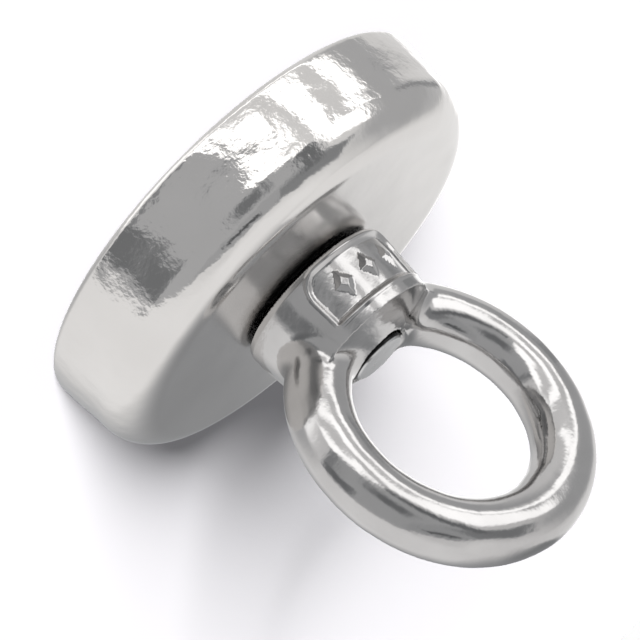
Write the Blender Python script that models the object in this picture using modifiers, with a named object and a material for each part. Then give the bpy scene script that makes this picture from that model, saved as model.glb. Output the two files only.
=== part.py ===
"""Magnet fishing magnet: a pot magnet with a countersunk screw and a cast eye nut.

The origin is the centre of the flat magnet face. +Z runs along the screw towards the
eye, and the eye's ring lies in the XZ plane, so a rope passes through it along Y.
"""
import math

import bmesh
import bpy
from mathutils import Matrix

MM = 0.001

# Pot, the steel cup that holds the magnet.
POT_RADIUS = 33.5 * MM
POT_HEIGHT = 15.0 * MM
POT_WAIST_RADIUS = 33.05 * MM
POT_LIP_HEIGHT = 1.8 * MM
POT_LIP_ROUND = 1.0 * MM
POT_SHOULDER_ROUND = 5.9 * MM
POT_WALL = 3.0 * MM
POT_FLOOR_Z = 8.4 * MM
POT_HOLE_RADIUS = 5.5 * MM
POT_SEGMENTS = 72

# Ring magnet, flush with the pot's rim, and the potting around it.
MAGNET_RADIUS = 28.6 * MM
MAGNET_BORE_RADIUS = 12.0 * MM
MAGNET_EDGE_ROUND = 0.4 * MM
POTTING_RECESS = 0.3 * MM

# Countersunk hex-socket screw, M10 by 20.
SCREW_LENGTH = 20.0 * MM
SCREW_HEAD_Z = 9.0 * MM
SCREW_HEAD_RADIUS = 9.7 * MM
SCREW_HEAD_EDGE = 0.3 * MM
SCREW_SHANK_RADIUS = 4.8 * MM
SCREW_END_CHAMFER = 0.9 * MM
SOCKET_ACROSS_FLATS = 6.0 * MM
SOCKET_DEPTH = 3.4 * MM
THREAD_GAP = 0.35 * MM

# Eye nut: a tapered collar with a ring on top.
NUT_BASE_Z = POT_HEIGHT + 0.4 * MM
NUT_RIDGE_Z = POT_HEIGHT + 11.4 * MM
NUT_SEAT_Z = POT_HEIGHT + 13.5 * MM
COLLAR_BASE_RADIUS = 12.3 * MM
COLLAR_TOP_RADIUS = 11.4 * MM
COLLAR_BASE_ROUND = 1.3 * MM
COLLAR_SEGMENTS = 64
BORE_CHAMFER = 0.6 * MM
RING_CENTRE_Z = POT_HEIGHT + 25.85 * MM
RING_RADIUS = 17.85 * MM
RING_TUBE_RADIUS = 4.5 * MM

# Washer, held in a relief in the nut's underside.
WASHER_RADIUS = 8.5 * MM
WASHER_BORE_RADIUS = 5.3 * MM
WASHER_THICKNESS = 0.8 * MM

GAP = 0.3 * MM
STEEL = (0.55, 0.54, 0.53, 1.0)
DARK_STEEL = (0.08, 0.08, 0.08, 1.0)
NICKEL = (0.70, 0.68, 0.66, 1.0)
EPOXY = (0.03, 0.03, 0.035, 1.0)


def clear_scene():
    for thing in list(bpy.data.objects):
        bpy.data.objects.remove(thing, do_unlink=True)


def new_collection(name):
    collection = bpy.data.collections.new(name)
    bpy.context.scene.collection.children.link(collection)
    return collection


def metal(name, colour, roughness, metallic=1.0):
    material = bpy.data.materials.new(name)
    material.use_nodes = True
    shader = material.node_tree.nodes["Principled BSDF"]
    shader.inputs["Base Color"].default_value = colour
    shader.inputs["Roughness"].default_value = roughness
    shader.inputs["Metallic"].default_value = metallic
    return material


def arc(centre_r, centre_z, radius, start, end, steps):
    """Points on a round edge of a profile, angles in degrees from the outward radius."""
    points = []
    for step in range(steps + 1):
        angle = math.radians(start + (end - start) * step / steps)
        points.append((centre_r + radius * math.cos(angle), centre_z + radius * math.sin(angle)))
    return points


def turned(name, profile, segments, collection, material=None):
    """A closed profile of (radius, z) points, turned once around the Z axis.

    The profile runs down its outer side. A point at radius 0 lies on the axis."""
    mesh = bpy.data.meshes.new(name)
    points = [(r, 0.0, z) for r, z in profile]
    edges = [(i, (i + 1) % len(points)) for i in range(len(points))]
    if profile[0][0] == 0.0:
        edges.pop()
    mesh.from_pydata(points, edges, [])
    body = bpy.data.objects.new(name, mesh)
    collection.objects.link(body)
    screw = body.modifiers.new("turn", "SCREW")
    screw.axis = "Z"
    screw.angle = math.tau
    screw.steps = segments
    screw.render_steps = segments
    screw.use_merge_vertices = True
    screw.merge_threshold = 0.00001
    screw.use_smooth_shade = True
    if material:
        mesh.materials.append(material)
    return body


def boolean(body, tool, operation):
    modifier = body.modifiers.new(tool.name, "BOOLEAN")
    modifier.object = tool
    modifier.operation = operation
    modifier.solver = "EXACT"


def mark_cutter(tool):
    tool.hide_render = True
    tool.display_type = "WIRE"


def make_pot(parts, nickel):
    """Cup with a rounded lip, a slight waist, a rounded shoulder and a countersunk hole."""
    lip = POT_LIP_ROUND
    shoulder_r = POT_WAIST_RADIUS - POT_SHOULDER_ROUND
    shoulder_z = POT_HEIGHT - POT_SHOULDER_ROUND
    inner = POT_RADIUS - POT_WALL
    sink_r = SCREW_HEAD_RADIUS + 0.45 * MM + SCREW_HEAD_Z + SCREW_HEAD_EDGE - POT_FLOOR_Z
    sink_z = POT_FLOOR_Z + sink_r - POT_HOLE_RADIUS
    profile = [(POT_HOLE_RADIUS, POT_HEIGHT)]
    profile += arc(shoulder_r, shoulder_z, POT_SHOULDER_ROUND, 90, 0, 8)
    profile += [
        (POT_WAIST_RADIUS, POT_HEIGHT * 0.45),
        (POT_WAIST_RADIUS + 0.15 * MM, POT_HEIGHT * 0.28),
        (POT_RADIUS, POT_LIP_HEIGHT),
    ]
    profile += arc(POT_RADIUS - lip, lip, lip, 0, -90, 4)
    profile += [
        (inner, 0.0),
        (inner, POT_FLOOR_Z),
        (sink_r, POT_FLOOR_Z),
        (POT_HOLE_RADIUS, sink_z),
    ]
    return turned("steel_pot", profile, POT_SEGMENTS, parts, nickel)


def make_magnet(parts, nickel):
    """Ring magnet with a wide bore for the screw's head."""
    top = POT_FLOOR_Z - GAP
    edge = MAGNET_EDGE_ROUND
    profile = [(MAGNET_BORE_RADIUS, top), (MAGNET_RADIUS, top)]
    profile += arc(MAGNET_RADIUS - edge, edge, edge, 0, -90, 3)
    profile += arc(MAGNET_BORE_RADIUS + edge, edge, edge, 270, 180, 3)
    return turned("ring_magnet", profile, POT_SEGMENTS, parts, nickel)


def make_potting(parts, epoxy):
    """Resin ring that fills the gap between the magnet and the pot's wall."""
    outer = POT_RADIUS - POT_WALL - GAP
    inner = MAGNET_RADIUS + GAP
    top = POT_FLOOR_Z - GAP
    profile = [(inner, top), (outer, top), (outer, POTTING_RECESS), (inner, POTTING_RECESS)]
    return turned("potting_ring", profile, POT_SEGMENTS, parts, epoxy)


def make_screw(parts, cutters, steel):
    """Countersunk screw, its head in the pot's floor and its end in the bore of the eye nut."""
    end_z = SCREW_HEAD_Z + SCREW_LENGTH
    cone_z = SCREW_HEAD_Z + SCREW_HEAD_EDGE
    shank = SCREW_SHANK_RADIUS
    profile = [
        (0.0, end_z),
        (shank - SCREW_END_CHAMFER, end_z),
        (shank, end_z - SCREW_END_CHAMFER),
        (shank, cone_z + SCREW_HEAD_RADIUS - shank),
        (SCREW_HEAD_RADIUS, cone_z),
        (SCREW_HEAD_RADIUS, SCREW_HEAD_Z),
        (0.0, SCREW_HEAD_Z),
    ]
    screw = turned("countersunk_screw", profile, 48, parts, steel)
    socket_mesh = bpy.data.meshes.new("hex_socket_cutter")
    cell = bmesh.new()
    corner = SOCKET_ACROSS_FLATS / math.sqrt(3.0)
    centre = Matrix.Translation((0.0, 0.0, SCREW_HEAD_Z))
    bmesh.ops.create_cone(cell, cap_ends=True, segments=6, radius1=corner, radius2=corner,
                          depth=2.0 * SOCKET_DEPTH, matrix=centre)
    cell.to_mesh(socket_mesh)
    cell.free()
    socket = bpy.data.objects.new("hex_socket_cutter", socket_mesh)
    cutters.objects.link(socket)
    mark_cutter(socket)
    boolean(screw, socket, "DIFFERENCE")
    return screw


def make_washer(parts, steel):
    """Flat washer between the pot and the eye nut."""
    low = POT_HEIGHT + GAP
    high = low + WASHER_THICKNESS
    profile = [
        (WASHER_BORE_RADIUS, high),
        (WASHER_RADIUS, high),
        (WASHER_RADIUS, low),
        (WASHER_BORE_RADIUS, low),
    ]
    return turned("flat_washer", profile, 48, parts, steel)


def make_bore_cutter(cutters):
    """Threaded bore with a chamfered mouth, and the washer's relief below it."""
    bore = SCREW_SHANK_RADIUS + THREAD_GAP
    relief_r = WASHER_RADIUS + 0.5 * MM
    relief_z = POT_HEIGHT + WASHER_THICKNESS + 2.0 * GAP
    mouth_z = NUT_SEAT_Z - BORE_CHAMFER
    over = 3.0 * MM
    profile = [
        (0.0, NUT_SEAT_Z + over),
        (bore + BORE_CHAMFER + over, NUT_SEAT_Z + over),
        (bore, mouth_z),
        (bore, relief_z + BORE_CHAMFER),
        (bore + BORE_CHAMFER, relief_z),
        (relief_r, relief_z),
        (relief_r, NUT_BASE_Z - over),
        (0.0, NUT_BASE_Z - over),
    ]
    cutter = turned("bore_cutter", profile, 48, cutters)
    mark_cutter(cutter)
    return cutter


def make_eye_nut(parts, cutters, steel, screw_axis):
    """Tapered collar, domed on top, with a ring standing on it and a bore through it."""
    base = COLLAR_BASE_ROUND
    collar = [(0.0, NUT_SEAT_Z), (SCREW_SHANK_RADIUS + 1.0 * MM, NUT_SEAT_Z)]
    collar += [(COLLAR_TOP_RADIUS, NUT_RIDGE_Z)]
    collar += arc(COLLAR_BASE_RADIUS - base, NUT_BASE_Z + base, base, 0, -90, 5)
    collar += [(0.0, NUT_BASE_Z)]
    nut = turned("eye_nut", collar, COLLAR_SEGMENTS, parts, steel)
    bpy.ops.mesh.primitive_torus_add(
        major_segments=72, minor_segments=20, major_radius=RING_RADIUS,
        minor_radius=RING_TUBE_RADIUS, location=(0.0, 0.0, RING_CENTRE_Z),
        rotation=(math.pi / 2.0, 0.0, 0.0))
    ring = bpy.context.object
    ring.name = "ring_form"
    bpy.context.collection.objects.unlink(ring)
    cutters.objects.link(ring)
    mark_cutter(ring)
    boolean(nut, ring, "UNION")
    boolean(nut, make_bore_cutter(cutters), "DIFFERENCE")
    nut.parent = screw_axis
    return nut


def build():
    clear_scene()
    parts = new_collection("magnet_fishing_magnet")
    cutters = new_collection("cutters")
    nickel = metal("nickel_plate", NICKEL, 0.12)
    magnet_nickel = metal("magnet_nickel", NICKEL, 0.25)
    epoxy = metal("potting_epoxy", EPOXY, 0.4, 0.0)
    screw_steel = metal("screw_steel", STEEL, 0.25)
    washer_steel = metal("washer_steel", DARK_STEEL, 0.4)
    nut_steel = metal("cast_stainless", STEEL, 0.2)
    screw_axis = bpy.data.objects.new("screw_axis", None)
    parts.objects.link(screw_axis)
    make_pot(parts, nickel)
    make_magnet(parts, magnet_nickel)
    make_potting(parts, epoxy)
    make_screw(parts, cutters, screw_steel)
    washer = make_washer(parts, washer_steel)
    washer.parent = screw_axis
    make_eye_nut(parts, cutters, nut_steel, screw_axis)


build()
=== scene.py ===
"""Looks of the magnet fishing magnet: a nickel-plated pot magnet with a cast eye nut."""
import math

import bmesh
import bpy
import numpy as np
from mathutils import Matrix, Vector


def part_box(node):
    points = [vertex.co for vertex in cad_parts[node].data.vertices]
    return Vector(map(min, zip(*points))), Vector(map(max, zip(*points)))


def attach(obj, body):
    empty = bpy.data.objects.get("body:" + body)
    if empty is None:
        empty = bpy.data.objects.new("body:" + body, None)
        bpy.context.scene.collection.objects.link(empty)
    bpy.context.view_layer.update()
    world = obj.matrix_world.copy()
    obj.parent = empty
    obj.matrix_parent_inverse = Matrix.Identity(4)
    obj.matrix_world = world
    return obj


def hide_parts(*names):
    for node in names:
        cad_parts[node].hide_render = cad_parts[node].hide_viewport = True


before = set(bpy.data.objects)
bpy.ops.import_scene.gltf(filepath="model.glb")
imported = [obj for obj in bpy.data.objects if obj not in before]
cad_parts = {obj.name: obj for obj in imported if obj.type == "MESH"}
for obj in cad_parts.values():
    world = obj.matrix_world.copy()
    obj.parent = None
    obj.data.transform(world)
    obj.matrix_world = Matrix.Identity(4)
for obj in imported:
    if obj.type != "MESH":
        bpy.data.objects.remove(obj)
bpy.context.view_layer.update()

MM = 0.001

# The lowest and highest corners of the CAD's pieces.
POT_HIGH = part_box("steel_pot")[1]
MAGNET_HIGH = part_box("ring_magnet")[1]
POTTING_LOW, POTTING_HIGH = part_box("potting_ring")
SCREW_LOW, SCREW_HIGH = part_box("countersunk_screw")
WASHER_LOW, WASHER_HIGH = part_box("flat_washer")
NUT_LOW, NUT_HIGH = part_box("eye_nut")

# Pot, magnet and washer.
POT_RADIUS = POT_HIGH.x
POT_HEIGHT = POT_HIGH.z
POT_WAIST_RADIUS = POT_RADIUS - 0.45 * MM
POT_INNER_RADIUS = POT_RADIUS - 3.0 * MM
POT_FLOOR_Z = 8.4 * MM
POT_SHOULDER_ROUND = 5.9 * MM
POT_LIP_HEIGHT = 1.8 * MM
POT_LIP_ROUND = 1.0 * MM
POT_HOLE_RADIUS = 5.5 * MM
POT_SINK_RADIUS = 11.25 * MM
MAGNET_BORE_RADIUS = 12.0 * MM
POTTING_GAP = 0.3 * MM
WASHER_BORE_RADIUS = 5.3 * MM

# Screw: an M10 thread with a short point, and a hex socket in its head.
THREAD_PITCH = 1.5 * MM
THREAD_CREST = 4.82 * MM
THREAD_ROOT = 4.05 * MM
THREAD_STEEPNESS = 1.35
POINT_END_RADIUS = 3.9 * MM
POINT_SIDE_RADIUS = 4.25 * MM
POINT_LENGTH = 1.3 * MM
HEAD_EDGE = 0.3 * MM
SOCKET_ACROSS_FLATS = 6.0 * MM
SOCKET_DEPTH = 3.4 * MM

# The eye nut's ring.
RING_TUBE = 4.5 * MM
RING_RADIUS = 17.85 * MM
RING_CENTRE_Z = NUT_HIGH.z - RING_RADIUS - RING_TUBE

# Camera, as an orbit around a point on the object.
CAMERA_TARGET = Vector((2.38 * MM, 0.39 * MM, 19.55 * MM))
CAMERA_AZIMUTH = 42.497
CAMERA_ELEVATION = 13.600
CAMERA_DISTANCE = 284.77 * MM
CAMERA_ROLL = 134.522
CAMERA_LENS = 117.9
SENSOR = 36.0

# Key light: its direction, the width of its disc in degrees, and its strength.
KEY_AZIMUTH = 33.0
KEY_ELEVATION = 6.0
KEY_SPREAD = 16.0
KEY_STRENGTH = 131.0


# ---------------------------------------------------------------- helpers

def arc(centre_r, centre_z, radius, start, end, steps):
    """Points (r, z) on a round edge of a profile, angles in degrees."""
    angles = [math.radians(start + (end - start) * i / steps) for i in range(steps + 1)]
    return [(centre_r + radius * math.cos(a), centre_z + radius * math.sin(a)) for a in angles]


def even(points, spacing):
    """The same closed outline with points added, so that no step is longer than spacing."""
    dense = []
    for (r0, z0), (r1, z1) in zip(points, points[1:] + points[:1]):
        steps = max(1, math.ceil(math.hypot(r1 - r0, z1 - z0) / spacing))
        dense += [(r0 + (r1 - r0) * i / steps, z0 + (z1 - z0) * i / steps) for i in range(steps)]
    return dense


def ease(t):
    """0 up to t = 0, 1 from t = 1 on, and a smooth step between them."""
    t = np.clip(t, 0.0, 1.0)
    return t * t * (3.0 - 2.0 * t)


def placed(name, form):
    """A bmesh made an object in the scene."""
    mesh = bpy.data.meshes.new(name)
    form.to_mesh(mesh)
    form.free()
    piece = bpy.data.objects.new(name, mesh)
    bpy.context.scene.collection.objects.link(piece)
    return piece


def apply_modifiers(piece):
    """Replaces the piece's mesh with its evaluated one."""
    bpy.context.view_layer.update()
    evaluated = piece.evaluated_get(bpy.context.evaluated_depsgraph_get())
    mesh = bpy.data.meshes.new_from_object(evaluated)
    piece.modifiers.clear()
    old = piece.data
    piece.data = mesh
    bpy.data.meshes.remove(old)


def turned(name, profile, segments):
    """A closed (r, z) outline turned around the Z axis, as a smooth-shaded mesh object."""
    form = bmesh.new()
    verts = [form.verts.new((r, 0.0, z)) for r, z in profile]
    edges = [form.edges.new((verts[i], verts[(i + 1) % len(verts)])) for i in range(len(verts))]
    bmesh.ops.spin(form, geom=verts + edges, axis=(0.0, 0.0, 1.0), cent=(0.0, 0.0, 0.0),
                   angle=math.tau, steps=segments, use_merge=True)
    bmesh.ops.remove_doubles(form, verts=form.verts, dist=1e-7)
    bmesh.ops.recalc_face_normals(form, faces=form.faces)
    piece = placed(name, form)
    piece.data.shade_smooth()
    piece.data.set_sharp_from_angle(angle=math.radians(35.0))
    return piece


def vertex_array(mesh):
    """The mesh's points, one row each."""
    points = np.empty(len(mesh.vertices) * 3)
    mesh.vertices.foreach_get("co", points)
    return points.reshape(-1, 3)


def dress(piece, node, body, material):
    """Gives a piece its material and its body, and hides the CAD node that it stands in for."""
    piece.data.materials.clear()
    piece.data.materials.append(material)
    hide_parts(node)
    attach(piece, body)


# ---------------------------------------------------------------- materials

class Nodes:
    """A node tree, with short calls to add, set and join nodes."""

    def __init__(self, owner):
        owner.use_nodes = True
        self.tree = owner.node_tree

    def add(self, kind, **settings):
        node = self.tree.nodes.new(kind)
        for key, value in settings.items():
            setattr(node, key, value)
        return node

    def link(self, source, target):
        self.tree.links.new(source, target)

    def math(self, operation, *terms):
        """Arithmetic on numbers and on the outputs of other nodes."""
        node = self.add("ShaderNodeMath", operation=operation)
        for socket, term in zip(node.inputs, terms):
            if isinstance(term, (int, float)):
                socket.default_value = term
            else:
                self.link(term, socket)
        return node.outputs["Value"]

    def ramp(self, source, stops):
        """Colours along a value: stops is a list of (position, grey or colour)."""
        node = self.add("ShaderNodeValToRGB")
        for element, (position, colour) in zip(node.color_ramp.elements, stops):
            if not isinstance(colour, tuple):
                colour = (colour, colour, colour)
            element.position = position
            element.color = (*colour, 1.0)
        self.link(source, node.inputs["Fac"])
        return node.outputs["Color"]

    def span(self, source, low, high, start=0.3, end=0.7, curve="LINEAR"):
        """The value remapped from start..end to low..high."""
        node = self.add("ShaderNodeMapRange", interpolation_type=curve)
        node.inputs["From Min"].default_value = start
        node.inputs["From Max"].default_value = end
        node.inputs["To Min"].default_value = low
        node.inputs["To Max"].default_value = high
        self.link(source, node.inputs["Value"])
        return node.outputs["Result"]


class Surface(Nodes):
    """A material's node tree, laid out in the object's own coordinates."""

    def __init__(self, name):
        self.material = bpy.data.materials.new(name)
        super().__init__(self.material)
        self.shader = self.tree.nodes["Principled BSDF"]
        self.coordinates = self.add("ShaderNodeTexCoord").outputs["Object"]

    def noise(self, scale, detail=3.0, stretch=None):
        node = self.add("ShaderNodeTexNoise")
        node.inputs["Scale"].default_value = scale
        node.inputs["Detail"].default_value = detail
        source = self.coordinates
        if stretch:
            mapping = self.add("ShaderNodeMapping")
            mapping.inputs["Scale"].default_value = stretch
            self.link(source, mapping.inputs["Vector"])
            source = mapping.outputs["Vector"]
        self.link(source, node.inputs["Vector"])
        return node.outputs["Fac"]

    def height(self):
        split = self.add("ShaderNodeSeparateXYZ")
        self.link(self.coordinates, split.inputs["Vector"])
        return split.outputs["Z"]

    def reach(self):
        """Distance from the screw's axis."""
        flat = self.add("ShaderNodeVectorMath", operation="MULTIPLY")
        self.link(self.coordinates, flat.inputs[0])
        flat.inputs[1].default_value = (1.0, 1.0, 0.0)
        length = self.add("ShaderNodeVectorMath", operation="LENGTH")
        self.link(flat.outputs["Vector"], length.inputs[0])
        return length.outputs["Value"]

    def blend(self, factor, first, second, blend_type="MIX"):
        """Two colours mixed. The factor and the colours are outputs or plain values."""
        node = self.add("ShaderNodeMix", data_type="RGBA", blend_type=blend_type)
        for name, term in (("Factor", factor), ("A", first), ("B", second)):
            if isinstance(term, (float, tuple)):
                node.inputs[name].default_value = term
            else:
                self.link(term, node.inputs[name])
        return node.outputs["Result"]

    def bump(self, source, strength, distance, under=None):
        node = self.add("ShaderNodeBump")
        if isinstance(strength, float):
            node.inputs["Strength"].default_value = strength
        else:
            self.link(strength, node.inputs["Strength"])
        node.inputs["Distance"].default_value = distance
        self.link(source, node.inputs["Height"])
        if under:
            self.link(under, node.inputs["Normal"])
        return node.outputs["Normal"]

    def finish(self, tint, roughness, normal, metallic=1.0):
        """Joins the surface to the shader and gives its material."""
        self.shader.inputs["Metallic"].default_value = metallic
        self.link(tint, self.shader.inputs["Base Color"])
        self.link(roughness, self.shader.inputs["Roughness"])
        self.link(normal, self.shader.inputs["Normal"])
        return self.material


def mirror_nickel():
    """Bright nickel plate: a mirror with orange peel on its side, and duller on its back."""
    m = Surface("mirror_nickel")
    tint = m.ramp(m.noise(60.0, 4.0), [(0.3, (0.66, 0.645, 0.63)), (0.7, (0.72, 0.705, 0.69))])
    back = m.span(m.height(), 0.0, 1.0, POT_HEIGHT - 0.5 * MM, POT_HEIGHT - 0.05 * MM)
    haze = m.span(m.noise(140.0, 5.0), 0.05, 0.10)
    uneven = m.span(m.height(), 1.0, 0.1, POT_HEIGHT - 2.0 * MM, POT_HEIGHT - 0.1 * MM)
    rough_side = m.span(m.height(), 1.0, 0.15, POT_HEIGHT - 5.0 * MM, POT_HEIGHT - 1.0 * MM)
    waves = m.bump(m.noise(110.0, 2.0), uneven, 0.34 * MM)
    peel = m.bump(m.noise(450.0, 2.0), rough_side, 0.055 * MM, waves)
    flecks = m.bump(m.noise(1600.0, 2.0), rough_side, 0.028 * MM, peel)
    return m.finish(tint, m.math("MULTIPLY_ADD", back, 0.11, haze), flecks)


def cast_stainless():
    """Tumble-polished stainless casting: grey, with soft undulations, and painted shade darkening
    its underside over the pot's back.
    """
    m = Surface("cast_stainless")
    grey = m.ramp(m.noise(120.0, 4.0), [(0.3, (0.50, 0.492, 0.487)), (0.7, (0.57, 0.562, 0.557))])
    # Painted shade: the casting's lowest 0.2 mm is darkened for the shade in the narrow gap over
    # the pot's back.
    under = m.span(m.height(), 0.08, 1.0, NUT_LOW.z + 0.05 * MM, NUT_LOW.z + 0.2 * MM)
    waves = m.bump(m.noise(240.0, 2.0), 0.8, 0.05 * MM)
    dents = m.bump(m.noise(800.0, 1.0), 0.6, 0.02 * MM, waves)
    grain = m.bump(m.noise(1800.0, 3.0), 0.6, 0.02 * MM, dents)
    return m.finish(m.blend(1.0, grey, under, "MULTIPLY"),
                    m.span(m.noise(300.0, 4.0), 0.08, 0.15), grain)


def magnet_nickel():
    """Satin nickel on the magnet's face, with fine scuffs from use."""
    m = Surface("magnet_nickel")
    tint = m.ramp(m.noise(90.0, 6.0), [(0.3, (0.62, 0.61, 0.59)), (0.7, (0.78, 0.77, 0.75))])
    scuffs = m.bump(m.noise(160.0, 6.0, stretch=(1.0, 9.0, 1.0)), 0.3, 0.02 * MM)
    return m.finish(tint, m.span(m.noise(400.0, 6.0), 0.18, 0.38), scuffs)


def potting_resin():
    m = Surface("potting_resin")
    tint = m.ramp(m.noise(250.0, 4.0), [(0.3, (0.018, 0.018, 0.020)), (0.7, (0.045, 0.045, 0.050))])
    swirls = m.bump(m.noise(600.0, 3.0), 0.4, 0.05 * MM)
    return m.finish(tint, m.span(m.noise(500.0, 3.0), 0.25, 0.5), swirls, metallic=0.0)


def washer_plate():
    """Near-black steel, which stands in as painted shade for the gap under the nut."""
    m = Surface("washer_plate")
    # Painted shade: the washer is near-black so the gap under the nut reads as shade.
    tint = m.ramp(m.noise(350.0, 5.0), [(0.3, 0.05), (0.7, 0.10)])
    grain = m.bump(m.noise(1500.0, 3.0), 0.25, 0.01 * MM)
    return m.finish(tint, m.span(m.noise(700.0, 4.0), 0.35, 0.5), grain)


def screw_plate():
    """Zinc-plated steel, with painted shade: its thread is near-black where it stands in the nut's
    mouth.
    """
    m = Surface("screw_plate")
    plate = m.ramp(m.noise(350.0, 5.0), [(0.3, 0.50), (0.7, 0.62)])
    # Painted shade: the thread's top, within the nut's mouth, is near-black for the shade in the
    # gap round the screw.
    side = m.span(m.reach(), 0.0, 1.0, POINT_SIDE_RADIUS - 0.19 * MM, POINT_SIDE_RADIUS - 0.07 * MM)
    top = m.span(m.height(), 0.0, 1.0, SCREW_HIGH.z - 2.5 * MM, SCREW_HIGH.z - 1.5 * MM)
    thread_gap_shade = m.math("MULTIPLY", side, top)
    grain = m.bump(m.noise(1500.0, 3.0), 0.25, 0.01 * MM)
    return m.finish(m.blend(thread_gap_shade, plate, (0.02, 0.02, 0.02, 1.0)),
                    m.span(m.noise(700.0, 4.0), 0.14, 0.28), grain)


# ---------------------------------------------------------------- pot and magnet

def make_pot():
    """The plated cup: rounded lip, slight waist, rounded shoulder, flat back."""
    lip, shoulder, edge = POT_LIP_ROUND, POT_SHOULDER_ROUND, 0.25 * MM
    outline = arc(POT_HOLE_RADIUS + edge, POT_HEIGHT - edge, edge, 180, 90, 4)
    outline += arc(POT_WAIST_RADIUS - shoulder, POT_HEIGHT - shoulder, shoulder, 90, 0, 28)
    outline += wall_points()
    outline += arc(POT_RADIUS - lip, lip, lip, 0, -90, 10)
    outline += arc(POT_INNER_RADIUS + edge, edge, edge, 270, 180, 4)
    outline += [(POT_INNER_RADIUS, POT_FLOOR_Z), (POT_SINK_RADIUS, POT_FLOOR_Z)]
    outline += [(POT_HOLE_RADIUS, POT_FLOOR_Z + POT_SINK_RADIUS - POT_HOLE_RADIUS)]
    return turned("pot_shell", even(outline, 0.8 * MM), 288)


def wall_points():
    """The cup's side from the waist to the lip, flaring a little towards the magnet face."""
    top = POT_HEIGHT - POT_SHOULDER_ROUND
    steps = 12
    points = []
    for i in range(1, steps + 1):
        flare = (POT_RADIUS - POT_WAIST_RADIUS) * ease(i / steps)
        points.append((POT_WAIST_RADIUS + flare, top + (POT_LIP_HEIGHT - top) * i / steps))
    return points


def make_magnet():
    edge, top = 0.4 * MM, MAGNET_HIGH.z
    outline = [(MAGNET_BORE_RADIUS, top), (MAGNET_HIGH.x, top)]
    outline += arc(MAGNET_HIGH.x - edge, edge, edge, 0, -90, 8)
    outline += arc(MAGNET_BORE_RADIUS + edge, edge, edge, 270, 180, 8)
    return turned("magnet_disc", even(outline, 1.5 * MM), 192)


def make_potting():
    """Resin ring with a hollow meniscus."""
    outer, top, low = POTTING_HIGH.x, POTTING_HIGH.z, POTTING_LOW.z
    inner = MAGNET_HIGH.x + POTTING_GAP
    middle = (inner + outer) / 2
    outline = [(inner, top), (outer, top), (outer, low)]
    outline += [(middle + 0.35 * MM, low + 0.14 * MM), (middle, low + 0.18 * MM)]
    outline += [(middle - 0.35 * MM, low + 0.14 * MM), (inner, low)]
    return turned("potting_resin_ring", even(outline, 0.5 * MM), 192)


# ---------------------------------------------------------------- screw and washer

def make_washer():
    edge = 0.12 * MM
    outer, low, high, bore = WASHER_HIGH.x, WASHER_LOW.z, WASHER_HIGH.z, WASHER_BORE_RADIUS
    outline = arc(bore + edge, high - edge, edge, 180, 90, 4)
    outline += arc(outer - edge, high - edge, edge, 90, 0, 4)
    outline += arc(outer - edge, low + edge, edge, 0, -90, 4)
    outline += arc(bore + edge, low + edge, edge, 270, 180, 4)
    return turned("washer_disc", even(outline, 0.8 * MM), 96)


def point_radius(depth):
    """Largest radius of the screw's short point, this far below its end."""
    tip = min(POINT_END_RADIUS + depth, POINT_SIDE_RADIUS)
    return max(tip, POINT_SIDE_RADIUS + depth - POINT_LENGTH)


def thread_radius(around, z, cone_end):
    """Radius of the thread at a share of a turn and a height; it runs out at the cone."""
    turn = ((z - SCREW_HIGH.z) / THREAD_PITCH - around) % 1.0
    flank = min(abs(turn - 0.5) * 2.0 * THREAD_STEEPNESS, 1.0)
    groove = (THREAD_CREST - THREAD_ROOT) * (1.0 - flank)
    radius = THREAD_CREST - groove * ease((z - cone_end) / (0.8 * MM))
    return min(radius, point_radius(SCREW_HIGH.z - z))


def make_screw():
    """Countersunk screw with a rolled thread and a hex socket in its head."""
    low, high, head_r = SCREW_LOW.z, SCREW_HIGH.z, SCREW_HIGH.x
    around, step = 96, THREAD_PITCH / 12
    cone_end = low + HEAD_EDGE + head_r - THREAD_CREST
    head = [(head_r - 0.25 * MM, low), (head_r, low + 0.2 * MM), (head_r, low + HEAD_EDGE)]
    rings = [[(r, z)] * around for r, z in head]
    for z in [*np.arange(cone_end, high - 0.35 * MM, step), high - 0.3 * MM, high]:
        rings.append([(thread_radius(i / around, z, cone_end), z) for i in range(around)])
    form = bmesh.new()
    rows = []
    for ring in rings:
        row = []
        for i, (r, z) in enumerate(ring):
            a = math.tau * i / around
            row.append(form.verts.new((r * math.cos(a), r * math.sin(a), z)))
        rows.append(row)
    for upper, lower in zip(rows[1:], rows[:-1]):
        for i in range(around):
            j = (i + 1) % around
            form.faces.new((lower[i], lower[j], upper[j], upper[i]))
    form.faces.new(rows[-1])
    form.faces.new(list(reversed(rows[0])))
    screw = placed("screw_body", form)
    cut_socket(screw)
    screw.data.shade_smooth()
    screw.data.set_sharp_from_angle(angle=math.radians(38.0))
    return screw


def cut_socket(screw):
    """Cuts the hex socket into the screw's head."""
    corner = SOCKET_ACROSS_FLATS / math.sqrt(3.0)
    form = bmesh.new()
    bmesh.ops.create_cone(form, cap_ends=True, segments=6, radius1=corner, radius2=corner,
                          depth=2.0 * SOCKET_DEPTH,
                          matrix=Matrix.Translation((0.0, 0.0, SCREW_LOW.z)))
    tool = placed("socket_tool", form)
    cut = screw.modifiers.new("socket", "BOOLEAN")
    cut.object = tool
    cut.operation = "DIFFERENCE"
    cut.solver = "EXACT"
    apply_modifiers(screw)
    bpy.data.objects.remove(tool, do_unlink=True)


# ---------------------------------------------------------------- eye nut
# The casting is one surface at distance zero of a field, in millimetres: a tapered
# collar and a ring melt into each other, and the panels and the bore are cut out.

NUT_BASE = NUT_LOW.z / MM
SEAT = 28.5
RIDGE = 26.4
COLLAR_BASE_R, COLLAR_TOP_R = 12.3, 11.4
BORE_R = 5.15
RIM_R, RIM_THICKNESS = 4.45, 0.4
RELIEF_R = 9.0
RELIEF_Z = 16.4
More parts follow.
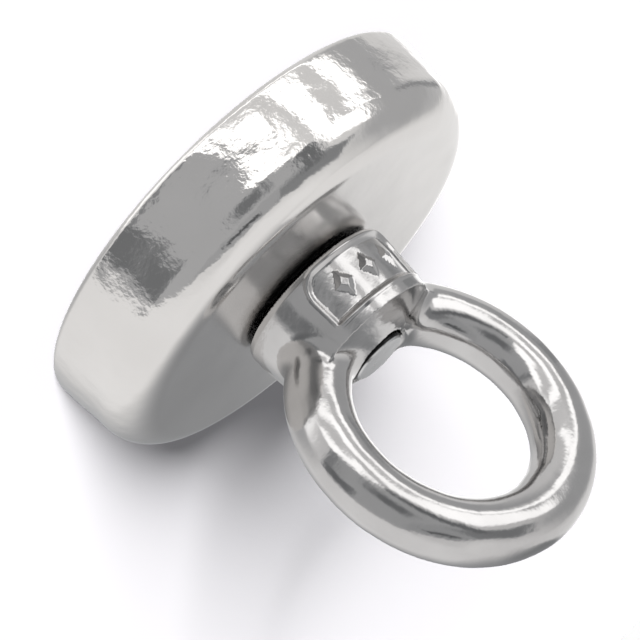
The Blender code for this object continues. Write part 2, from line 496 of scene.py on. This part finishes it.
# The sunken panel on the collar's front and back, measured along its surface, with a bead
# round its edge and three raised lozenges.
PANEL_MIDDLE, PANEL_HALF_HEIGHT, PANEL_HALF_WIDTH = 20.6, 3.95, 10.1
PANEL_BASE_CORNER, PANEL_TOP_CORNER = 3.4, 0.5
PANEL_DEPTH, PANEL_BEVEL = 0.55, 0.75
BEAD_HEIGHT, BEAD_HALF_WIDTH = 0.12, 0.45
MARK_SPACING, MARK_HALF_WIDTH, MARK_HALF_HEIGHT = 5.0, 1.7, 2.3
MARK_HEIGHT, MARK_STEEPNESS = 0.5, 1.6
# Fillets between the collar and the ring, and along the bore's edges.
FILLET, BORE_EDGE = 2.0, 0.25
RIPPLE_WAVES, RIPPLE_HEIGHT = 14, 0.007
# An outline's radius past the axis, where its edge can't matter.
PAST_AXIS = -30.0
# Fineness of the finished mesh.
VOXEL = 0.25


def melt(a, b, width):
    """The union of two distances, with a fillet of about this width."""
    h = np.maximum(width - np.abs(a - b), 0.0) / width
    return np.minimum(a, b) - h * h * width / 4.0


def carve(a, b, width):
    """Distance a with b cut out of it, its edge softened over this width."""
    return -melt(-a, b, width)


def polygon(r, z, corners):
    """Signed distance from (r, z) to a closed outline, negative inside."""
    best = np.full(r.shape, np.inf)
    inside = np.zeros(r.shape, bool)
    for (r0, z0), (r1, z1) in zip(corners, corners[1:] + corners[:1]):
        er, ez = r1 - r0, z1 - z0
        t = np.clip(((r - r0) * er + (z - z0) * ez) / (er * er + ez * ez), 0.0, 1.0)
        best = np.minimum(best, (r - r0 - er * t) ** 2 + (z - z0 - ez * t) ** 2)
        crosses = (z0 > z) != (z1 > z)
        inside ^= crosses & (r < r0 + er * (z - z0) / (ez if ez else 1.0))
    return np.where(inside, -1.0, 1.0) * np.sqrt(best)


def rounded_box(u, v, half_u, half_v, corner):
    """Signed distance to the edge of a rectangle with rounded corners, negative inside."""
    qu, qv = np.abs(u) - half_u + corner, np.abs(v) - half_v + corner
    outside = np.hypot(np.maximum(qu, 0.0), np.maximum(qv, 0.0))
    return outside + np.minimum(np.maximum(qu, qv), 0.0) - corner


def ripple(p):
    """Gentle unevenness of a tumble-polished casting, in millimetres."""
    draw = np.random.default_rng(7)
    total = np.zeros(len(p))
    for _ in range(RIPPLE_WAVES):
        heading = draw.normal(size=3)
        wave = heading / np.linalg.norm(heading) * draw.uniform(0.7, 1.9)
        total += np.sin(p @ wave + draw.uniform(0.0, math.tau)) / np.linalg.norm(wave)
    return RIPPLE_HEIGHT * total


def panel_relief(along, up):
    """How far the sunken panel, its bead and its lozenges move the collar's surface inwards."""
    corner = np.where(up < 0.0, PANEL_BASE_CORNER, PANEL_TOP_CORNER)
    edge = rounded_box(along, up, PANEL_HALF_WIDTH, PANEL_HALF_HEIGHT, corner)
    relief = PANEL_DEPTH * ease(-edge / PANEL_BEVEL)
    relief -= BEAD_HEIGHT * ease(1.0 - np.abs(edge - 0.1) / BEAD_HALF_WIDTH)
    for place in (-MARK_SPACING, 0.0, MARK_SPACING):
        spread = np.abs(along - place) / MARK_HALF_WIDTH + np.abs(up) / MARK_HALF_HEIGHT
        relief -= MARK_HEIGHT * np.clip(MARK_STEEPNESS * (1.0 - spread), 0.0, 1.0)
    return relief


def nut_field(p):
    """Signed distance, in millimetres, to the eye nut's surface."""
    x, y, z = p.T
    r = np.hypot(x, y)
    outline = [(PAST_AXIS, SEAT), (RIM_R + 0.4, SEAT), (COLLAR_TOP_R, RIDGE),
               (COLLAR_BASE_R - 0.1, NUT_BASE + 1.4), (COLLAR_BASE_R - 0.35, NUT_BASE + 0.6),
               (COLLAR_BASE_R - 1.3, NUT_BASE), (PAST_AXIS, NUT_BASE)]
    collar = polygon(r, z, outline)
    along = np.arctan2(x, np.abs(y)) * COLLAR_BASE_R
    collar = collar + panel_relief(along, z - PANEL_MIDDLE)
    ring = np.hypot(np.hypot(x, z - RING_CENTRE_Z / MM) - RING_RADIUS / MM, y) - RING_TUBE / MM
    body = melt(collar, ring, FILLET) + ripple(p)
    hole = [(PAST_AXIS, SEAT + 1.5), (RIM_R + 1.8, SEAT + 1.5), (RIM_R, SEAT - 0.3),
            (RIM_R, SEAT - 0.3 - RIM_THICKNESS), (BORE_R, SEAT - 1.5), (BORE_R, RELIEF_Z + 0.6),
            (BORE_R + 0.6, RELIEF_Z), (RELIEF_R, RELIEF_Z), (RELIEF_R, NUT_BASE - 9.0),
            (PAST_AXIS, NUT_BASE - 9.0)]
    return carve(body, polygon(r, z, hole), BORE_EDGE)


def field_slope(points):
    """The field's gradient at each point, from differences over a small step."""
    h = 0.02
    slope = np.empty_like(points)
    for axis in range(3):
        step = np.zeros(3)
        step[axis] = h
        slope[:, axis] = (nut_field(points + step) - nut_field(points - step)) / (2.0 * h)
    return slope


def settle(points, rounds):
    """Moves points onto the field's zero surface."""
    for _ in range(rounds):
        slope = field_slope(points)
        size = np.maximum((slope * slope).sum(1), 0.2)
        points = points - (nut_field(points) / size)[:, None] * slope
    return points


def relax(points, edges):
    """Each point moves halfway to the middle of its neighbours."""
    total = np.zeros_like(points)
    count = np.zeros(len(points))
    for a, b in ((edges[:, 0], edges[:, 1]), (edges[:, 1], edges[:, 0])):
        np.add.at(total, a, points[b])
        np.add.at(count, a, 1.0)
    return 0.5 * points + 0.5 * total / count[:, None]


def make_eye_nut():
    """The CAD nut remeshed finely, with its points moved onto the casting's surface."""
    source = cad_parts["eye_nut"]
    nut = bpy.data.objects.new("eye_nut_casting", source.data.copy())
    bpy.context.scene.collection.objects.link(nut)
    remesh = nut.modifiers.new("voxels", "REMESH")
    remesh.mode = "VOXEL"
    remesh.voxel_size = VOXEL * MM
    apply_modifiers(nut)
    mesh = nut.data
    points = vertex_array(mesh) / MM
    edges = np.empty(len(mesh.edges) * 2, int)
    mesh.edges.foreach_get("vertices", edges)
    edges = edges.reshape(-1, 2)
    points = settle(points, 4)
    for _ in range(3):
        points = settle(relax(points, edges), 2)
    points = settle(points, 2)
    mesh.vertices.foreach_set("co", (points * MM).ravel())
    mesh.update()
    mesh.shade_smooth()
    slope = field_slope(points)
    normals = slope / np.linalg.norm(slope, axis=1)[:, None]
    mesh.normals_split_custom_set_from_vertices([tuple(n) for n in normals])
    return nut


# ---------------------------------------------------------------- stage

def make_floor():
    """Plain grey floor, lit up to white and kept out of the metal's reflections."""
    form = bmesh.new()
    bmesh.ops.create_circle(form, cap_ends=True, segments=128, radius=2.5)
    floor = placed("floor", form)
    floor.location.z = -0.05 * MM
    floor.visible_glossy = False
    m = Surface("pale_floor")
    tint = m.ramp(m.noise(3.0), [(0.3, (0.199, 0.198, 0.208)), (0.7, (0.203, 0.202, 0.212))])
    m.link(tint, m.shader.inputs["Base Color"])
    m.shader.inputs["Roughness"].default_value = 0.9
    m.shader.inputs["Specular IOR Level"].default_value = 0.0
    floor.data.materials.append(m.material)


def direction(azimuth, elevation):
    """Unit vector to a place around the object, angles in degrees; azimuth 0 is on -Y."""
    a, e = math.radians(azimuth), math.radians(elevation)
    return Vector((math.sin(a) * math.cos(e), -math.cos(a) * math.cos(e), math.sin(e)))


def make_camera():
    back = direction(CAMERA_AZIMUTH, CAMERA_ELEVATION)
    data = bpy.data.cameras.new("camera")
    data.lens = CAMERA_LENS
    data.sensor_width = SENSOR
    data.clip_start = 0.01
    data.clip_end = 10.0
    camera = bpy.data.objects.new("camera", data)
    camera.location = CAMERA_TARGET + back * CAMERA_DISTANCE
    look = (-back).to_track_quat("-Z", "Y").to_matrix().to_4x4()
    turn = Matrix.Rotation(math.radians(CAMERA_ROLL), 4, "Z")
    camera.rotation_euler = (look @ turn).to_euler()
    bpy.context.scene.collection.objects.link(camera)
    bpy.context.scene.camera = camera


def make_key():
    """One wide distant light, which gives the floor its soft shadow."""
    data = bpy.data.lights.new("key", "SUN")
    data.angle = math.radians(KEY_SPREAD)
    data.energy = KEY_STRENGTH
    data.color = (1.0, 0.99, 0.97)
    light = bpy.data.objects.new("key", data)
    aim = -direction(KEY_AZIMUTH, KEY_ELEVATION)
    light.rotation_euler = aim.to_track_quat("-Z", "Y").to_euler()
    light.visible_camera = False
    light.visible_glossy = False
    bpy.context.scene.collection.objects.link(light)


# The studio that the metal reflects, as soft-edged panels painted one over the other on a
# sphere round the object. Angles are in degrees, azimuth 0 is on the -Y side and 90 on +X.
# lean moves a panel's sides with elevation, and slope its top and bottom with azimuth.
# Dim panels are a little bluer than bright ones.
SHADE_TONE = (0.94, 0.965, 1.0)
BRIGHT_TONE = (1.0, 0.995, 0.995)
SURROUND = 0.85
PANELS = [
    # name, azimuth, elevation, width, height, lean, slope, soft edge, brightness
    ("ceiling", 0, 90, 720, 50, 0, 0, 16, 1.0),
    ("table", 60, -66, 90, 44, 0, 0, 14, 1.5),
    ("right_wall", 135, 20, 90, 110, 0, 0, 36, 1.0),
    ("right_corner", 222, 20, 66, 90, 0, 0, 54, 0.32),
    ("right_low", 150, -50, 100, 30, 0, 0, 30, 0.6),
    ("back_wall", 245, 20, 40, 100, 0.2, 0, 8, 0.98),
    ("back_glow", 238, -10, 26, 22, 0, 0, 8, 1.45),
    ("left_wall", 292, 8, 54, 80, 0, 0, 26, 0.53),
    ("left_low", 269, -23, 30, 22, 0, 0, 8, 0.85),
    ("left_line", 276, -7, 34, 5, 0, 0, 5, 0.36),
    ("front_low", 52, 8, 92, 58, -0.4, 0, 5, 0.52),
    ("front_high", 20, 44, 96, 28, -1.2, 0, 5, 0.46),
    ("front_dark", 350, 46, 50, 22, 0, 0, 8, 0.3),
    ("curtain", 359, 20, 12, 44, -0.15, 0, 7, 0.2),
    ("lens", 34, 9, 22, 24, 0, 0, 12, 0.22),
    ("front_edge", 44, 45, 26, 8, 0, -0.35, 6, 0.12),
    ("horizon", 62, -25, 60, 8, 0, 0, 5, 0.3),
    ("right_dark", 90, -16, 22, 24, -0.4, 0, 8, 0.22),
    ("right_edge", 86, -7, 24, 5, 0, 0, 5, 0.26),
    ("window", 333, 7, 32, 31, -0.2, 0, 5, 1.8),
    ("window_low", 332, -13, 46, 14, 0, 0, 5, 0.8),
    ("strip_a", 13, -12, 22, 12, 0, -0.2, 5, 1.9),
    ("strip_a_low", 28, -25, 20, 18, 0, -0.85, 5, 1.9),
    ("strip_b", 345, -13, 12, 16, -0.3, 0, 4, 1.9),
    ("strip_b_low", 357, -30, 36, 12, 0, -0.85, 5, 1.9),
    ("strip_c", 318, -14, 10, 16, -0.3, 0, 4, 1.9),
    ("strip_c_low", 333, -34, 24, 14, 0, -1.1, 5, 1.9),
]


class Sky(Nodes):
    """The world's node tree."""

    def __init__(self, world):
        super().__init__(world)
        self.tree.nodes.clear()

    def inside(self, offset, size, soft):
        """1 where the offset is within half the size, and 0 past a soft edge."""
        return self.span(self.math("ABSOLUTE", offset), 0.0, 1.0,
                         (size + soft) / 2, (size - soft) / 2, "SMOOTHSTEP")

    def panel(self, under, azimuth, elevation, middle, size, shear, soft, brightness):
        """The brightness under, with one panel painted over it."""
        across = self.math("WRAP", self.math("SUBTRACT", azimuth, middle[0]), 180.0, -180.0)
        up = self.math("SUBTRACT", elevation, middle[1])
        leaning = self.math("MULTIPLY_ADD", up, -shear[0], across)
        sloping = self.math("MULTIPLY_ADD", across, -shear[1], up)
        cover = self.math("MULTIPLY", self.inside(leaning, size[0], soft),
                          self.inside(sloping, size[1], soft))
        change = self.math("SUBTRACT", brightness, under)
        return self.math("MULTIPLY_ADD", cover, change, under)

    def background(self, colour, strength):
        node = self.add("ShaderNodeBackground")
        for name, term in (("Color", colour), ("Strength", strength)):
            if isinstance(term, (float, tuple)):
                node.inputs[name].default_value = term
            else:
                self.link(term, node.inputs[name])
        return node.outputs["Background"]


def make_world():
    """Plain white for the camera, and the panels of the studio for everything else."""
    world = bpy.data.worlds.new("studio")
    bpy.context.scene.world = world
    sky = Sky(world)
    ray = sky.add("ShaderNodeSeparateXYZ")
    sky.link(sky.add("ShaderNodeTexCoord").outputs["Generated"], ray.inputs["Vector"])
    x, y, z = ray.outputs
    azimuth = sky.math("DEGREES", sky.math("ARCTAN2", x, sky.math("MULTIPLY", y, -1.0)))
    elevation = sky.math("DEGREES", sky.math("ARCSINE", z))
    light = SURROUND
    for _, az, el, width, height, lean, slope, soft, brightness in PANELS:
        light = sky.panel(light, azimuth, elevation, (az, el), (width, height),
                          (lean, slope), soft, brightness)
    tone = sky.ramp(light, [(0.2, SHADE_TONE), (0.8, BRIGHT_TONE)])
    seen = sky.add("ShaderNodeLightPath").outputs["Is Camera Ray"]
    mix = sky.add("ShaderNodeMixShader")
    sky.link(seen, mix.inputs["Fac"])
    sky.link(sky.background(tone, light), mix.inputs[1])
    sky.link(sky.background((1.0, 1.0, 1.0, 1.0), 1.0), mix.inputs[2])
    output = sky.add("ShaderNodeOutputWorld")
    sky.link(mix.outputs["Shader"], output.inputs["Surface"])


make_camera()
make_floor()
make_world()
make_key()
bpy.context.scene.view_settings.view_transform = "Standard"

dress(make_pot(), "steel_pot", "magnet_pot", mirror_nickel())
dress(make_magnet(), "ring_magnet", "magnet_pot", magnet_nickel())
dress(make_potting(), "potting_ring", "magnet_pot", potting_resin())
dress(make_screw(), "countersunk_screw", "magnet_pot", screw_plate())
dress(make_washer(), "flat_washer", "washer", washer_plate())
dress(make_eye_nut(), "eye_nut", "eye", cast_stainless())
